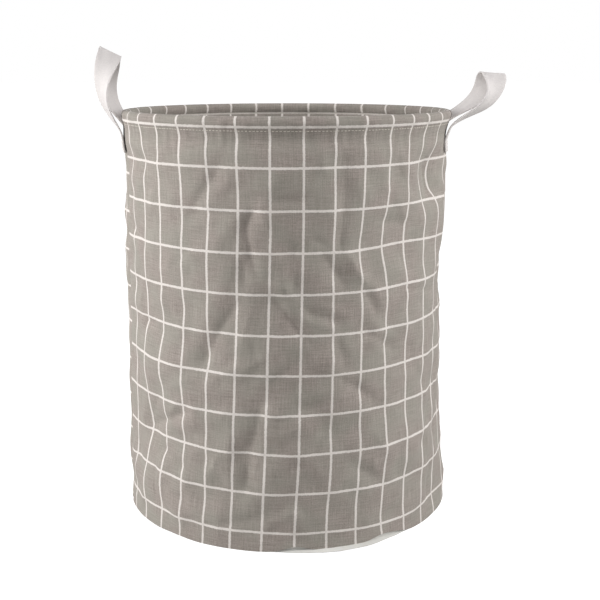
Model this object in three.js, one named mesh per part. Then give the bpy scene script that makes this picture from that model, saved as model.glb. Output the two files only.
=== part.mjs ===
// Pop up laundry hamper: a soft cloth tube on a round base, held open by a sprung wire hoop
// in its hem, with a webbing loop for a handle on each side.
// Millimetres, +Z up. The origin is the middle of the underside. The front faces -Y.

import * as THREE from 'three';

// Overall size
const rimDiameter = 350;
const standingHeight = 430;
const baseWidth = 358;
const baseDepth = 344;
const waistDiameter = 337;
const waistHeight = 265;

// Cloth, lining and tape
const clothThickness = 1.2;
const liningThickness = 0.6;
const baseClothThickness = 1;
const tapeThickness = 0.8;
const seatGap = 0.3;

// Hem round the mouth
const hemHeight = 12;
const hemPinch = 1.2;
const facingDepth = 25;
const liningTuck = 3;

// Sprung hoop and the sleeve that joins its ends
const wireDiameter = 3.5;
const sleeveWall = 0.75;
const sleeveLength = 30;
const sleeveBearing = Math.PI / 2;
const wireEndGap = 1;

// Bottom seam, and the two side seams that join the wall's front and back
const bottomSeamHeight = 10;
const bottomCornerRadius = 2;
const bindingHem = 4;
const sideTapeWidth = 15;
const leftSeamBearing = THREE.MathUtils.degToRad(195);

// Webbing handles
const strapWidth = 25;
const strapThickness = 1.6;
const strapSpacing = 72;
const strapEndBelowRim = 42;
const strapLeavesBelowRim = 30;
const loopFoldBelowRim = 17;
const loopHemClearance = 1.2;
const loopFoldOffset = 1.2;
const loopFoldGap = 0.5;
const loopHeight = 74;
const loopBulge = 9.5;
const loopBulgePeakShare = 0.58;
const loopTopTilt = THREE.MathUtils.degToRad(35);
const loopTurnPower = 2;
const leftLoopLean = THREE.MathUtils.degToRad(8);
const rightLoopLean = THREE.MathUtils.degToRad(38);

// Smoothness of the curved faces
const roundSteps = 72;
const wallSteps = 8;
const rollSteps = 8;
const cornerSteps = 3;
const wireCurveSegments = 5;
const sleeveSteps = 6;
const bandSteps = 4;
const endSteps = 6;
const loopSteps = 44;

// Sizes that follow from those above
const rimRadius = rimDiameter / 2;
const hemBottom = standingHeight - hemHeight;
const hemSeamRadius = rimRadius - hemPinch;
const facingBottom = standingHeight - facingDepth;
const wireRadius = wireDiameter / 2;
const sleeveBoreRadius = wireRadius + seatGap;
const sleeveRadius = sleeveBoreRadius + sleeveWall;
const channelRadius = sleeveRadius + seatGap;
const rollRadius = channelRadius + clothThickness;
const hoopRadius = rimRadius - rollRadius;
const hoopHeight = standingHeight - rollRadius;
const baseMeanRadius = (baseWidth + baseDepth) / 4;
const baseOvalShare = (baseWidth - baseDepth) / (baseWidth + baseDepth);
const waistRadius = waistDiameter / 2;
const strapEndBottom = standingHeight - strapEndBelowRim;
const strapLeavesWall = standingHeight - strapLeavesBelowRim;
const loopFoldHeight = standingHeight - loopFoldBelowRim;
const loopFoldHalfGap = loopFoldGap / 2;
const strapEndTop = loopFoldHeight - loopFoldHalfGap;
const rightSeamBearing = leftSeamBearing - Math.PI;
const panelSteps = roundSteps / 2;

// The straps leave the fold line in a plane that just clears the hem at their inner edges.
const strapInnerEdge = (strapSpacing - strapWidth) / 2;
const hemReach = Math.sqrt(rimRadius ** 2 - strapInnerEdge ** 2);
const loopStandOff = hemReach + loopHemClearance + strapThickness / 2;

// Layers of the wall, as distances in from its outer face
const liningOuterInset = clothThickness + seatGap;
const liningInnerInset = liningOuterInset + liningThickness;
const facingOuterInset = liningInnerInset + seatGap;
const facingInnerInset = facingOuterInset + clothThickness;
const tapeOuterInset = liningInnerInset + seatGap;
const tapeInnerInset = tapeOuterInset + tapeThickness;
const flangeOuterInset = tapeInnerInset + seatGap;
const flangeInnerInset = flangeOuterInset + baseClothThickness;
const bindingOuterInset = flangeInnerInset + seatGap;
const bindingInnerInset = bindingOuterInset + tapeThickness;

// How far a height is from the waist: 0 at the waist, 1 at the floor
function towardsFloor(height) {
	return Math.max(0, 1 - height / waistHeight);
}

// How far a height is from the waist: 0 at the waist, 1 at the hem seam
function towardsHem(height) {
	return Math.max(0, (height - waistHeight) / (hemBottom - waistHeight));
}

// Radius of the wall's outer face. The soft tube draws in at its waist.
function wallRadius(height) {
	const flareBelow = (baseMeanRadius - waistRadius) * towardsFloor(height) ** 2;
	const flareAbove = (hemSeamRadius - waistRadius) * towardsHem(height) ** 2;
	return waistRadius + flareBelow + flareAbove;
}

// The base spreads wider than it is deep, and the spread fades out by the waist.
function ovalFactor(bearing, height) {
	return 1 + baseOvalShare * towardsFloor(height) ** 2 * Math.cos(2 * bearing);
}

function wallPoint(bearing, height, inset) {
	const radius = (wallRadius(height) - inset) * ovalFactor(bearing, height);
	return new THREE.Vector3(radius * Math.cos(bearing), radius * Math.sin(bearing), height);
}

// A profile point set in from the wall's outer face at its own height
function insetPoint(height, inset) {
	return new THREE.Vector2(wallRadius(height) - inset, height);
}

// Profile points up or down the wall at one inset
function insetLine(fromHeight, toHeight, inset, steps) {
	const points = [];
	for (let step = 0; step <= steps; step += 1) {
		points.push(insetPoint(THREE.MathUtils.lerp(fromHeight, toHeight, step / steps), inset));
	}
	return points;
}

// Profile points round the hoop
function rollArc(radius, fromAngle, toAngle) {
	const points = [];
	for (let step = 0; step <= rollSteps; step += 1) {
		const angle = THREE.MathUtils.lerp(fromAngle, toAngle, step / rollSteps);
		const fromHoop = new THREE.Vector2(Math.cos(angle), Math.sin(angle)).multiplyScalar(radius);
		points.push(fromHoop.add(new THREE.Vector2(hoopRadius, hoopHeight)));
	}
	return points;
}

// Turns a profile about Z and draws it out of round as the wall is
function turnedWithWall(profile) {
	const geometry = new THREE.LatheGeometry(profile, roundSteps);
	geometry.rotateX(Math.PI / 2);
	const position = geometry.getAttribute('position');
	for (let index = 0; index < position.count; index += 1) {
		const x = position.getX(index);
		const y = position.getY(index);
		const factor = ovalFactor(Math.atan2(y, x), position.getZ(index));
		position.setXY(index, x * factor, y * factor);
	}
	geometry.computeVertexNormals();
	return geometry;
}

// Turns a closed profile, given without its last point, which is its first again
function turnedRing(profile) {
	return turnedWithWall([...profile, profile[0].clone()]);
}

// A closed band through matching sections. Each section runs across the front and back along the rear.
function bandThroughSections(sections) {
	const count = sections[0].length;
	const across = count / 2;
	const corners = sections.flat().flatMap((point) => point.toArray());
	const triangles = [];
	for (let step = 0; step < sections.length - 1; step += 1) {
		for (let side = 0; side < count; side += 1) {
			const near = step * count + side;
			const nearNext = step * count + (side + 1) % count;
			triangles.push(near, nearNext, nearNext + count);
			triangles.push(near, nearNext + count, near + count);
		}
	}
	const last = (sections.length - 1) * count;
	for (let side = 0; side < across - 1; side += 1) {
		const rear = count - 1 - side;
		triangles.push(side, rear - 1, side + 1);
		triangles.push(side, rear, rear - 1);
		triangles.push(last + side, last + side + 1, last + rear - 1);
		triangles.push(last + side, last + rear - 1, last + rear);
	}
	const geometry = new THREE.BufferGeometry();
	geometry.setAttribute('position', new THREE.Float32BufferAttribute(corners, 3));
	geometry.setIndex(triangles);
	geometry.computeVertexNormals();
	return geometry;
}

// The hoop's path, measured along the wire from the middle of the sleeve
class HoopPath extends THREE.Curve {
	constructor(fromDistance, toDistance) {
		super();
		this.fromBearing = sleeveBearing + fromDistance / hoopRadius;
		this.toBearing = sleeveBearing + toDistance / hoopRadius;
	}

	getPoint(share, target = new THREE.Vector3()) {
		const bearing = THREE.MathUtils.lerp(this.fromBearing, this.toBearing, share);
		return target.set(hoopRadius * Math.cos(bearing), hoopRadius * Math.sin(bearing), hoopHeight);
	}
}

// The middle line of a handle loop, standing upright over its fold line: +X points away from the
// hamper, +Z up. It rises as half an ellipse and bulges outwards on the way.
class LoopPath extends THREE.Curve {
	getPoint(share, target = new THREE.Vector3()) {
		const angle = Math.PI * share;
		const rise = Math.sin(angle);
		const bulgePower = Math.log(0.5) / Math.log(loopBulgePeakShare);
		const bulge = loopBulge * Math.sin(Math.PI * rise ** bulgePower);
		return target.set(
			bulge - loopFoldOffset,
			-strapSpacing / 2 * Math.cos(angle),
			THREE.MathUtils.lerp(loopFoldHalfGap, loopHeight, rise),
		);
	}
}

// The webbing's section at one place on the loop. It lies flat on the wall's line at the fold. Each
// leg then turns a quarter round and more, so that the face that was outside lies on top of the arch,
// with the arch's far edge a little higher than the edge nearer the hamper.
function loopSection(path, share) {
	const away = new THREE.Vector3(1, 0, 0);
	const rise = Math.sin(Math.PI * share);
	const centre = path.getPoint(share);
	const along = path.getTangent(share);
	const archOut = new THREE.Vector3().crossVectors(away, along).normalize();
	const turn = THREE.MathUtils.lerp(Math.PI / 2, -loopTopTilt, rise ** loopTurnPower);
	const across = away.clone().multiplyScalar(Math.cos(turn));
	across.addScaledVector(archOut, -Math.sin(turn));
	across.addScaledVector(along, -across.dot(along)).normalize();
	const outwards = new THREE.Vector3().crossVectors(across, along);
	const corner = (acrossShare, faceShare) => centre.clone()
		.addScaledVector(across, acrossShare * strapWidth)
		.addScaledVector(outwards, faceShare * strapThickness);
	return [corner(-0.5, 0.5), corner(0.5, 0.5), corner(0.5, -0.5), corner(-0.5, -0.5)];
}

// One point of a sewn strap end on the +X side. It follows the wall where it is sewn, then leaves
// it and flattens out towards the fold line.
function strapEndPoint(middleBearing, acrossShare, height, depth) {
	const across = acrossShare * strapWidth;
	const bearing = middleBearing + across / wallRadius(height);
	const onWall = wallPoint(bearing, height, -seatGap - depth);
	const sideways = Math.sign(middleBearing) * strapSpacing / 2 + across;
	const atFold = new THREE.Vector3(loopStandOff - strapThickness / 2 + depth, sideways, height);
	return onWall.lerp(atFold, THREE.MathUtils.smoothstep(height, strapLeavesWall, strapEndTop));
}

// A section of a sewn strap end at one height
function strapEndSection(middleBearing, height) {
	const front = [];
	const rear = [];
	for (let step = 0; step <= bandSteps; step += 1) {
		const acrossShare = step / bandSteps - 0.5;
		front.push(strapEndPoint(middleBearing, acrossShare, height, strapThickness));
		rear.unshift(strapEndPoint(middleBearing, acrossShare, height, 0));
	}
	return [...front, ...rear];
}

// A section across part of the wall at one height, between two of its layers
function wallSection(height, fromBearing, toBearing, steps, outerInset, innerInset) {
	const front = [];
	const rear = [];
	for (let step = 0; step <= steps; step += 1) {
		const bearing = THREE.MathUtils.lerp(fromBearing, toBearing, step / steps);
		front.push(wallPoint(bearing, height, outerInset));
		rear.unshift(wallPoint(bearing, height, innerInset));
	}
	return [...front, ...rear];
}

// Materials
function linenPrintMaterial() {
	return new THREE.MeshStandardMaterial({ color: '#9a9187', roughness: 0.95, metalness: 0 });
}

function coatingMaterial() {
	return new THREE.MeshStandardMaterial({ color: '#e8e6e0', roughness: 0.6, metalness: 0 });
}

function webbingMaterial() {
	return new THREE.MeshStandardMaterial({ color: '#dedad8', roughness: 0.9, metalness: 0 });
}

function tapeMaterial() {
	return new THREE.MeshStandardMaterial({ color: '#d9d5cb', roughness: 0.9, metalness: 0 });
}

function springSteelMaterial() {
	return new THREE.MeshStandardMaterial({ color: '#8f9398', roughness: 0.35, metalness: 1 });
}

function namedMesh(name, geometry, material) {
	const mesh = new THREE.Mesh(geometry, material);
	mesh.name = name;
	return mesh;
}

// Base: a round of coated cloth, with its edge turned up as the seam's allowance
function basePanel() {
	const flangeTop = bottomSeamHeight;
	const profile = [new THREE.Vector2(0, 0)];
	const cornerMiddle = insetPoint(bottomCornerRadius, flangeOuterInset + bottomCornerRadius);
	for (let step = 0; step <= cornerSteps; step += 1) {
		const angle = -Math.PI / 2 + Math.PI / 2 * step / cornerSteps;
		profile.push(new THREE.Vector2(
			cornerMiddle.x + bottomCornerRadius * Math.cos(angle),
			cornerMiddle.y + bottomCornerRadius * Math.sin(angle),
		));
	}
	profile.push(insetPoint(flangeTop, flangeOuterInset));
	profile.push(insetPoint(flangeTop, flangeInnerInset));
	profile.push(insetPoint(bottomCornerRadius, flangeInnerInset));
	profile.push(insetPoint(baseClothThickness, flangeInnerInset + bottomCornerRadius - baseClothThickness));
	profile.push(new THREE.Vector2(0, baseClothThickness));
	return namedMesh('base_panel', turnedWithWall(profile), coatingMaterial());
}

// Binding folded over the base's turned-up edge
function baseSeamTape() {
	const crease = bottomSeamHeight + seatGap;
	const top = crease + tapeThickness;
	const profile = [
		insetPoint(bindingHem, tapeOuterInset),
		insetPoint(top, tapeOuterInset),
		insetPoint(top, bindingInnerInset),
		insetPoint(bindingHem, bindingInnerInset),
		insetPoint(bindingHem, bindingOuterInset),
		insetPoint(crease, bindingOuterInset),
		insetPoint(crease, tapeInnerInset),
		insetPoint(bindingHem, tapeInnerInset),
	];
	return namedMesh('base_seam_tape', turnedRing(profile), tapeMaterial());
}

// Wall: two panels of printed cloth, each half the way round from one side seam to the other
function wallPanel(name, seamBearing) {
	const top = hemBottom - seatGap;
	const sections = [];
	for (let step = 0; step <= wallSteps; step += 1) {
		const height = THREE.MathUtils.lerp(0, top, step / wallSteps);
		const edge = seatGap / 2 / wallRadius(height);
		const from = seamBearing + edge;
		const to = seamBearing + Math.PI - edge;
		sections.push(wallSection(height, from, to, panelSteps, 0, clothThickness));
	}
	return namedMesh(name, bandThroughSections(sections), linenPrintMaterial());
}

// Waterproof lining inside both panels
function wallLining() {
	const top = hemBottom + liningTuck;
	const profile = [
		...insetLine(seatGap, top, liningOuterInset, wallSteps),
		...insetLine(top, seatGap, liningInnerInset, wallSteps),
	];
	return namedMesh('wall_lining', turnedRing(profile), coatingMaterial());
}

// Tape over a side seam, from the bottom binding to the hem's facing
function seamTape(name, seamBearing) {
	const bottom = bottomSeamHeight + seatGap + tapeThickness + seatGap;
	const top = facingBottom - seatGap;
	const sections = [];
	for (let step = 0; step <= wallSteps; step += 1) {
		const height = THREE.MathUtils.lerp(bottom, top, step / wallSteps);
		const edge = sideTapeWidth / 2 / wallRadius(height);
		const from = seamBearing - edge;
		const to = seamBearing + edge;
		sections.push(wallSection(height, from, to, bandSteps, tapeOuterInset, tapeInnerInset));
	}
	return namedMesh(name, bandThroughSections(sections), tapeMaterial());
}

// Hem: the cloth rolled over the hoop, pinched at its stitching and faced down the inside
function rimHem() {
	const profile = [
		insetPoint(hemBottom, 0),
		...rollArc(rollRadius, 0, Math.PI),
		insetPoint(hemBottom, facingInnerInset),
		insetPoint(facingBottom, facingInnerInset),
		insetPoint(facingBottom, facingOuterInset),
		insetPoint(hemBottom, facingOuterInset),
		...rollArc(channelRadius, Math.PI, 0),
		insetPoint(hemBottom, clothThickness),
	];
	return namedMesh('rim_hem', turnedRing(profile), linenPrintMaterial());
}

// Hoop: one round wire whose ends meet in a crimped sleeve
function rimHoop() {
	const section = new THREE.Shape().absarc(0, 0, wireRadius, 0, 2 * Math.PI, false);
	const circumference = 2 * Math.PI * hoopRadius;
	const geometry = new THREE.ExtrudeGeometry(section, {
		extrudePath: new HoopPath(wireEndGap / 2, circumference - wireEndGap / 2),
		steps: roundSteps,
		curveSegments: wireCurveSegments,
		bevelEnabled: false,
	});
	return namedMesh('rim_hoop', geometry, springSteelMaterial());
}

function hoopSleeve() {
	const section = new THREE.Shape().absarc(0, 0, sleeveRadius, 0, 2 * Math.PI, false);
	section.holes.push(new THREE.Path().absarc(0, 0, sleeveBoreRadius, 0, 2 * Math.PI, true));
	const geometry = new THREE.ExtrudeGeometry(section, {
		extrudePath: new HoopPath(-sleeveLength / 2, sleeveLength / 2),
		steps: sleeveSteps,
		curveSegments: wireCurveSegments,
		bevelEnabled: false,
	});
	return namedMesh('hoop_ferrule', geometry, springSteelMaterial());
}

// Handle loop, which swings on its fold line
function handleStrap(name) {
	const path = new LoopPath();
	const sections = [];
	for (let step = 0; step <= loopSteps; step += 1) {
		sections.push(loopSection(path, step / loopSteps));
	}
	return namedMesh(name, bandThroughSections(sections), webbingMaterial());
}

// Sewn strap end, below the fold line
function strapEnd(name, middleBearing) {
	const sections = [strapEndSection(middleBearing, strapEndBottom)];
	for (let step = 0; step <= endSteps; step += 1) {
		const height = THREE.MathUtils.lerp(strapLeavesWall, strapEndTop, step / endSteps);
		sections.push(strapEndSection(middleBearing, height));
	}
	return namedMesh(name, bandThroughSections(sections), webbingMaterial());
}

// One handle on the +X side, turned to its own side of the hamper
function handle(side, sideBearing, lean, nearEndName, farEndName) {
	const endBearing = Math.asin(strapSpacing / 2 / (wallRadius(strapLeavesWall) + seatGap + strapThickness));
	const fold = new THREE.Group();
	fold.position.set(loopStandOff + loopFoldOffset, 0, loopFoldHeight);
	fold.rotation.y = lean;
	fold.add(handleStrap(`${side}_handle_strap`));
	const group = new THREE.Group();
	group.rotation.z = sideBearing;
	group.add(fold);
	group.add(strapEnd(`${side}_${nearEndName}_strap_end`, -endBearing));
	group.add(strapEnd(`${side}_${farEndName}_strap_end`, endBearing));
	return group;
}

const hamper = new THREE.Group();
hamper.add(basePanel());
hamper.add(baseSeamTape());
hamper.add(wallPanel('front_wall_panel', leftSeamBearing));
hamper.add(wallPanel('back_wall_panel', rightSeamBearing));
hamper.add(wallLining());
hamper.add(seamTape('left_seam_tape', leftSeamBearing));
hamper.add(seamTape('right_seam_tape', rightSeamBearing));
hamper.add(rimHem());
hamper.add(rimHoop());
hamper.add(hoopSleeve());
hamper.add(handle('right', 0, rightLoopLean, 'front', 'rear'));
hamper.add(handle('left', Math.PI, leftLoopLean, 'rear', 'front'));

export default hamper;
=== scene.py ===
# %% [markdown]
# # Dressing a pop up laundry hamper
#
# This hamper is nearly all cloth: two printed panels sewn into a tube, a white coated lining, a
# round base, and a hem rolled over a sprung wire hoop. Two lengths of webbing are its handles.
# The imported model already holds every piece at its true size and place. Here each soft piece is
# made again as real cloth, with its folds, print, weave and stitching, in the same place.

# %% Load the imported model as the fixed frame
import math
import random

import bpy
import numpy as np
from mathutils import Matrix, Vector


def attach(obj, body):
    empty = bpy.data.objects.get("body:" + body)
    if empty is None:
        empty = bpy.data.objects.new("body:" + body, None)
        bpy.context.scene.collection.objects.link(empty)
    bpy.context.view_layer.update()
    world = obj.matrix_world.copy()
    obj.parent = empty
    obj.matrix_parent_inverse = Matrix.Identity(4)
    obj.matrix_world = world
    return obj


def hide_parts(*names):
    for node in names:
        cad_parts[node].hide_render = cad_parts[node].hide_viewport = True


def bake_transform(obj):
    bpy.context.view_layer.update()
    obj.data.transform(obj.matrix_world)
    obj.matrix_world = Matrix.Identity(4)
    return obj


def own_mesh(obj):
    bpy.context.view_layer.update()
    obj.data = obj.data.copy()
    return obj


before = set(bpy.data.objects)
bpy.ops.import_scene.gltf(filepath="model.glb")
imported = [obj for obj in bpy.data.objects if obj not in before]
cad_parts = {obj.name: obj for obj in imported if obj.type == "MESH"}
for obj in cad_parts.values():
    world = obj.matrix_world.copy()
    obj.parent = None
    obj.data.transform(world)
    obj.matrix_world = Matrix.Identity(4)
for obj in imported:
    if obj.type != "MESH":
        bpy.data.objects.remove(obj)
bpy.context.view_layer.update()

# %% [markdown]
# ## Camera
#
# The photograph was taken from about 1.1 m away and a little above the rim, tipped down 13
# degrees, so that the mouth shows as a thin ellipse. The lens is worked out from that distance
# and from how wide the mouth looks in a picture 600 pixels square.

# %% Place the camera
CAMERA_PLACE = (0.013, -1.117, 0.4796)
CAMERA_PITCH = math.radians(90 - 13.06)
CAMERA_TURN = math.radians(-0.06)

camera_data = bpy.data.cameras.new("photograph camera")
camera_data.lens = 61.6
camera_data.sensor_width = 36
camera = bpy.data.objects.new("photograph_camera", camera_data)
bpy.context.scene.collection.objects.link(camera)
camera.location = CAMERA_PLACE
camera.rotation_euler = (CAMERA_PITCH, 0, CAMERA_TURN)
bpy.context.scene.camera = camera
print("camera at", CAMERA_PLACE, "lens", camera_data.lens)

# %% [markdown]
# ## Small helpers for working by hand
#
# An operator works on whatever is selected, so each step starts with nothing selected. These few
# lines do what a mouse would: pick one object, go in and out of edit mode, and apply a modifier.
# The last two read and move all of a mesh's points at once.

# %% Selecting, editing and applying
def deselect_all():
    for other in bpy.context.selected_objects:
        other.select_set(False)


def pick(piece):
    """Makes a piece the only one selected, and active."""
    deselect_all()
    piece.select_set(True)
    bpy.context.view_layer.objects.active = piece


def apply_modifier(piece, kind, **settings):
    """Adds a modifier to a piece, sets it and applies it."""
    pick(piece)
    modifier = piece.modifiers.new(kind.lower(), kind)
    for name, value in settings.items():
        setattr(modifier, name, value)
    bpy.ops.object.modifier_apply(modifier=modifier.name)


def smooth(piece, angle=60):
    pick(piece)
    bpy.ops.object.shade_smooth_by_angle(angle=math.radians(angle))


def edit(piece):
    """Goes into edit mode on one piece, with all of it selected."""
    pick(piece)
    bpy.ops.object.mode_set(mode="EDIT")
    bpy.ops.mesh.select_all(action="SELECT")


def leave_edit():
    bpy.ops.object.mode_set(mode="OBJECT")


def face_outwards(piece):
    edit(piece)
    bpy.ops.mesh.normals_make_consistent(inside=False)
    leave_edit()


def dress(piece, finish):
    """Gives a piece its one finish."""
    piece.data.materials.clear()
    piece.data.materials.append(finish)
    print(piece.name, "has", len(piece.data.polygons), "faces")


def points_of(piece):
    """The places of a piece's points, one row for each."""
    places = np.zeros(len(piece.data.vertices) * 3)
    piece.data.vertices.foreach_get("co", places)
    return places.reshape(-1, 3)


def move_points(piece, places):
    piece.data.vertices.foreach_set("co", places.ravel())
    piece.data.update()


# %% [markdown]
# ## The hamper's shape
#
# The cloth tube isn't a plain cylinder. It is widest at the floor, draws in to a waist, and opens
# again to the hoop. The base is also a little wider than it is deep. These are the same sizes as
# in the model's source, in metres. A place on the wall is given by its turn, which is 0 at the
# front and grows towards the right, and by its height.

# %% Sizes of the tube
WAIST_RADIUS, WAIST_HEIGHT = 0.1685, 0.265
BASE_RADIUS = 0.1755
BASE_OVAL = 0.01994
HEM_BOTTOM, HEM_SEAM_RADIUS = 0.418, 0.1738
HOOP_RADIUS, HOOP_HEIGHT = 0.1707, 0.4257
ROLL_RADIUS = 0.0043
FACING_BOTTOM = 0.405
LEFT_SEAM, RIGHT_SEAM = math.radians(-75), math.radians(105)
CLOTH, LINING, TAPE, BASE_CLOTH, WEBBING = 0.0012, 0.0006, 0.0008, 0.001, 0.0016


def wall_radius(height):
    """Radius of the wall's outer face, before its folds."""
    below = np.maximum(0, 1 - height / WAIST_HEIGHT) ** 2
    above = np.maximum(0, (height - WAIST_HEIGHT) / (HEM_BOTTOM - WAIST_HEIGHT)) ** 2
    widened = (BASE_RADIUS - WAIST_RADIUS) * below + (HEM_SEAM_RADIUS - WAIST_RADIUS) * above
    return WAIST_RADIUS + widened


def oval(turn, height):
    """How far the base's oval draws the wall out at one place."""
    return 1 - BASE_OVAL * np.maximum(0, 1 - height / WAIST_HEIGHT) ** 2 * np.cos(2 * turn)


def round_about(turn, radius, height):
    """Points at a turn, a radius and a height, as three columns."""
    turn, radius, height = np.broadcast_arrays(turn, radius, height)
    return np.stack((radius * np.sin(turn), -radius * np.cos(turn), height), axis=1)


# %% [markdown]
# ## The folds
#
# A hamper that has been folded flat for sale keeps soft creases and dents when it springs up.
# Simulation would give folds, but not these ones, so each is placed one by one, as a sculptor would
# with a crease brush and a grab brush. A dent is a soft round push, and a crease is a line with a
# soft valley or ridge along it. A slide moves the cloth sideways and a lift moves it up, which is
# what bends the printed lines. The lining and the tapes get the same folds.

# %% Dents: turn and height of the middle, half sizes, then depth. Degrees and millimetres
DENTS = [
    # the right side below the hem, between the front and the handle
    (61, 372, 12, 30, -8.5), (39, 312, 12, 26, -5), (70, 330, 11, 24, 2.5), (52, 268, 16, 22, 1.5),
    # both sides, where bulges and hollows follow one another down the wall
    (-62, 386, 10, 16, -4), (-43, 290, 16, 32, 2.6), (-53, 180, 14, 26, 4), (-51, 104, 15, 20, -3.6),
    (-60, 48, 14, 18, 3), (43, 100, 20, 30, 2.6), (72, 120, 14, 34, -2.4), (84, 265, 13, 48, -3.6),
    (-83, 250, 14, 82, 7.6), (-83, 125, 14, 62, 4.2), (-83, 330, 14, 46, 1.7), (-82, 26, 14, 16, -1.5),
    # the front
    (-1, 401, 5, 5, -1), (17, 130, 8, 18, -1.8), (8, 152, 5, 7, -1.5), (2, 344, 9, 9, 0.8),
    (-3, 43, 6, 14, -1.8), (17, 44, 7, 14, -2), (39, 27, 6, 9, -1.5), (-24, 66, 8, 15, -1.2),
    (-20, 300, 9, 26, 1.4), (8, 205, 12, 18, 1.6), (-36, 130, 10, 14, 1.2), (30, 230, 9, 18, 1.6),
    (-22, 174, 4, 6, -0.9), (-13, 175, 4, 7, -1), (-23, 150, 4, 6, -0.9), (20, 125, 6, 14, -1.4),
    (-33, 48, 5, 14, -1.3), (-53, 124, 6, 15, -1.3), (68, 128, 5, 18, -1.4), (48, 284, 5, 14, -1.6),
    (30, 371, 4, 12, -1.3), (-80, 302, 4, 10, -1), (-5, 130, 8, 14, 1.2), (6, 92, 8, 16, 1.3),
    # the back
    (120, 340, 14, 36, -4.5), (150, 290, 15, 30, 3), (185, 345, 14, 26, -3.2), (214, 300, 16, 40, 2.8),
    (240, 352, 12, 26, -4.2), (250, 262, 14, 32, 2.6), (130, 190, 15, 34, 3.2), (163, 150, 16, 28, -3.4),
    (196, 190, 14, 32, 2.6), (226, 150, 16, 30, -3), (255, 130, 12, 26, 2.4), (118, 90, 14, 22, -2.4),
    (148, 62, 14, 18, 2), (184, 84, 16, 22, -2.2), (220, 60, 14, 18, 2), (100, 262, 12, 30, 2.4),
]

# %% Creases: turn and height of each end, half width, then depth. Degrees and millimetres
CREASES = [
    # the long crease right of the middle, and the wide fold that ends it
    (23, 412, 18, 386, 8, -1.5), (19, 379, 19, 347, 10, -1.2), (19, 344, 18, 309, 7, -1.8),
    (12, 303, 20, 270, 10, -2.3), (20, 303, 28, 268, 8, 2.1), (9, 317, 14, 310, 4, -1.2),
    (27, 266, 31, 244, 6, -1.3), (30, 270, 34, 246, 6, 0.8), (27, 224, 40, 200, 6, -1.4),
    (30, 232, 42, 209, 7, 0.9),
    # the rest of the front
    (-22, 381, -31, 347, 9, -1.7), (-17, 379, -26, 344, 9, 0.8), (-33, 338, -17, 340, 4, -1.1),
    (-10, 344, -13, 328, 5, -1.6), (-13, 328, -11, 302, 6, -1.9), (-11, 302, -9, 280, 6, -1.1),
    (-7, 338, -3, 300, 11, 1.3), (-3, 300, 0, 266, 10, 1.3), (-14, 294, -13, 272, 5, -0.9),
    (3, 300, 3, 268, 7, -1.2), (-4, 260, 3, 233, 6, -1.8), (3, 233, 5, 222, 5, -1.1),
    (-3, 354, 6, 354, 5, -1.3), (-13, 354, -8, 356, 4, -0.9), (8, 247, 19, 234, 3.5, -1),
    (7, 238, 17, 227, 3.5, 0.9), (11, 254, 21, 243, 4, 0.7), (-16, 253, -24, 219, 9, -1.9),
    (-23, 220, -30, 187, 12, -2.3), (-11, 250, -15, 214, 8, 0.9), (-28, 169, -15, 194, 6, 0.9),
    (-11, 216, -9, 194, 6, -0.9), (17, 222, 20, 188, 8, -1.2), (-8, 152, -12, 106, 10, -1.8),
    (-12, 106, -14, 64, 9, -1.4), (-19, 136, -20, 72, 8, 1), (17, 181, 31, 154, 7, -1.5),
    (23, 88, 35, 63, 9, -1.5), (-53, 68, -52, 33, 6, -1.2), (-54, 77, -48, 88, 5, -0.9),
    (-36, 136, -58, 106, 6, -1.6), (-34, 72, -56, 98, 6, -1.5), (71, 172, 51, 63, 8, -1.3),
    (62, 60, 60, 26, 7, -1.6), (57, 386, 62, 352, 7, -1.7), (58, 356, 74, 348, 6, -1),
    (44, 262, 62, 250, 5, -1.2), (34, 330, 52, 322, 5, -1), (-30, 20, -10, 34, 6, -0.9),
    (-78, 330, -58, 300, 6, -1.4), (-66, 226, -48, 214, 5, -1.2),
    # the back and the far sides
    (128, 392, 140, 330, 7, -1.8), (140, 330, 131, 296, 7, -1.5), (160, 372, 178, 318, 7, -1.9),
    (178, 318, 172, 270, 6, -1.6), (174, 316, 168, 272, 7, 1.2), (205, 382, 200, 330, 7, -1.6),
    (200, 330, 214, 282, 7, -1.7), (236, 330, 262, 300, 7, -1.6), (118, 262, 146, 236, 6, -1.5),
    (152, 226, 172, 206, 5, -1.3), (188, 250, 212, 222, 6, -1.6), (226, 236, 250, 196, 7, -1.5),
    (112, 176, 134, 140, 7, -1.4), (150, 128, 176, 112, 6, -1.4), (192, 142, 206, 96, 7, -1.5),
    (232, 128, 256, 84, 7, -1.6), (126, 60, 152, 38, 6, -1.1), (196, 52, 222, 34, 6, -1),
    (92, 330, 104, 280, 7, -1.6), (96, 216, 108, 160, 7, -1.4), (86, 96, 100, 60, 6, -1.2),
]

# %% Slides: as the dents, but the last number is how far the cloth moves round, in milliradians
SLIDES = [
    (60, 398, 15, 40, -75), (66, 366, 13, 22, -50), (40, 310, 12, 30, -32), (-43, 290, 16, 34, -14),
    (-53, 178, 14, 26, -30), (-50, 100, 14, 18, 16), (-62, 44, 14, 16, -35), (-57, 396, 9, 16, 26),
    (28, 300, 9, 22, -12), (150, 300, 16, 40, 20), (200, 180, 18, 40, -22), (240, 320, 14, 36, 24),
    (9, 250, 24, 600, 16), (132, 425, 26, 36, -62),
]

# %% Lifts of the cloth, as the dents: the last number is how far it moves up, in millimetres
LIFTED = [
    (-60, 204, 14, 26, 3), (-60, 110, 12, 20, -2.2), (-54, 58, 13, 18, 3.4), (46, 300, 16, 40, 3),
    (40, 20, 20, 50, -4), (-5, 10, 34, 60, -2.4), (160, 240, 20, 50, 3), (220, 120, 20, 40, -3),
]

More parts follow.
